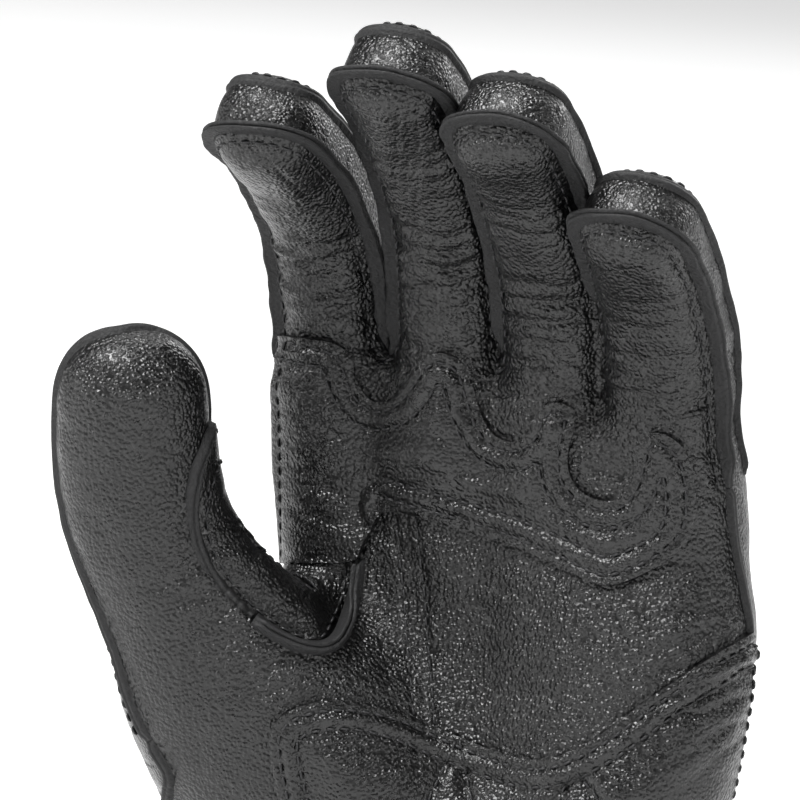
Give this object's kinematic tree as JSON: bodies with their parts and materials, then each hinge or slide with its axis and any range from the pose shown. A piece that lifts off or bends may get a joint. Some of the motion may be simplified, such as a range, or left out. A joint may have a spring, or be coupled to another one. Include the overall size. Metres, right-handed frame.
{
  "type": "riding glove",
  "caption": "Left short-cuff leather riding glove with padded palm and heel patches, pre-curved fingers that bend, a thumb gusset and a wrist strap.",
  "frame": {"origin": "centre of the cuff opening, at the height of the cuff's rim", "axes": "+Z to the fingertips, +X to the little finger, -Y the palm side"},
  "size_m": [0.1183, 0.0828, 0.2246],
  "materials": {
    "leather": "semi-gloss full-grain leather, fine pebble",
    "patch_leather": "semi-gloss full-grain leather, padded",
    "soft_leather": "matt softer leather of the finger walls and folds",
    "perforated_leather": "full-grain leather with rows of small holes",
    "binding": "matt leather tape",
    "lining": "knitted lining",
    "elastic": "ribbed elastic",
    "foam": "closed-cell foam, hidden",
    "hook_and_loop": "hook-and-loop tape"
  },
  "bodies": {
    "hand": {"palm_panel": "leather", "thenar_panel": "leather", "back_panel": "perforated_leather", "hand_lining": "lining", "cuff_palm": "leather", "cuff_back": "leather", "cuff_binding": "binding", "wrist_elastic": "elastic", "heel_foam": "foam", "heel_patch": "patch_leather", "palm_fold": "soft_leather", "back_fold": "soft_leather", "overlay_foam": "foam", "palm_overlay": "patch_leather", "thumb_mound_palm": "leather", "thumb_mound_back": "perforated_leather", "thumb_root_fold": "soft_leather", "thumb_gusset": "soft_leather", "strap_anchor": "leather", "strap_loop_patch": "hook_and_loop"},
    "knuckle_row": {"root_palm": "leather", "root_back": "leather", "finger_forks": "soft_leather", "knuckle_foam": "foam", "knuckle_cover": "patch_leather", "index_base_palm": "leather", "index_base_back": "leather", "index_fold": "soft_leather", "middle_base_palm": "leather", "middle_base_back": "leather", "middle_fold": "soft_leather", "ring_base_palm": "leather", "ring_base_back": "leather", "ring_fold": "soft_leather", "little_base_palm": "leather", "little_base_back": "leather", "little_fold": "soft_leather"},
    "index_end": {"index_palm": "leather", "index_wall": "soft_leather", "index_back": "leather"},
    "middle_end": {"middle_palm": "leather", "middle_wall": "soft_leather", "middle_back": "leather"},
    "ring_end": {"ring_palm": "leather", "ring_wall": "soft_leather", "ring_back": "leather"},
    "little_end": {"little_palm": "leather", "little_wall": "soft_leather", "little_back": "leather"},
    "thumb_base": {"thumb_base_palm": "leather", "thumb_base_back": "perforated_leather", "thumb_joint_fold": "soft_leather"},
    "thumb_end": {"thumb_palm": "leather", "thumb_wall": "soft_leather", "thumb_back": "leather"},
    "strap": {"strap_tab": "leather", "strap_hook_patch": "hook_and_loop"}
  },
  "joints": [
    {"name": "knuckle_row", "type": "hinge", "parent": "hand", "child": "knuckle_row", "pos_m": [-0.005, -0.0005, 0.1445], "axis": [0.989, 0, -0.1478], "range_deg": [-12, 30], "stiffness_Nm_per_rad": 0.5, "deforming": ["palm_fold", "back_fold", "overlay_foam", "palm_overlay"]},
    {"name": "index_middle_joint", "type": "hinge", "parent": "knuckle_row", "child": "index_end", "pos_m": [-0.03116, -0.00801, 0.18067], "axis": [0.9986, 0, 0.0523], "range_deg": [-25, 30], "stiffness_Nm_per_rad": 0.08, "deforming": ["index_fold"]},
    {"name": "middle_middle_joint", "type": "hinge", "parent": "knuckle_row", "child": "middle_end", "pos_m": [-0.00569, -0.00978, 0.18515], "axis": [1, 0, 0.0087], "range_deg": [-25, 40], "stiffness_Nm_per_rad": 0.08, "deforming": ["middle_fold"]},
    {"name": "ring_middle_joint", "type": "hinge", "parent": "knuckle_row", "child": "ring_end", "pos_m": [0.0164, -0.0094, 0.17769], "axis": [0.9999, 0, 0.014], "range_deg": [-25, 40], "stiffness_Nm_per_rad": 0.08, "deforming": ["ring_fold"]},
    {"name": "little_middle_joint", "type": "hinge", "parent": "knuckle_row", "child": "little_end", "pos_m": [0.03743, -0.00625, 0.16694], "axis": [0.9997, 0, -0.0262], "range_deg": [-25, 40], "stiffness_Nm_per_rad": 0.08, "deforming": ["little_fold"]},
    {"name": "thumb_root", "type": "hinge", "parent": "hand", "child": "thumb_base", "pos_m": [-0.0385, -0.026, 0.1035], "axis": [0.741, 0.1684, 0.65], "range_deg": [-15, 5], "stiffness_Nm_per_rad": 0.25, "deforming": ["thumb_root_fold", "thumb_gusset"]},
    {"name": "thumb_middle_joint", "type": "hinge", "parent": "thumb_base", "child": "thumb_end", "pos_m": [-0.0525, -0.0365, 0.1285], "axis": [0.8781, 0.2865, 0.3832], "range_deg": [-15, 25], "stiffness_Nm_per_rad": 0.1, "deforming": ["thumb_joint_fold"]},
    {"name": "strap_opening", "type": "hinge", "parent": "hand", "child": "strap", "pos_m": [0.0158, 0.0294, 0.031], "axis": [0, 0, -1], "range_deg": [0, 100]}
  ]
}
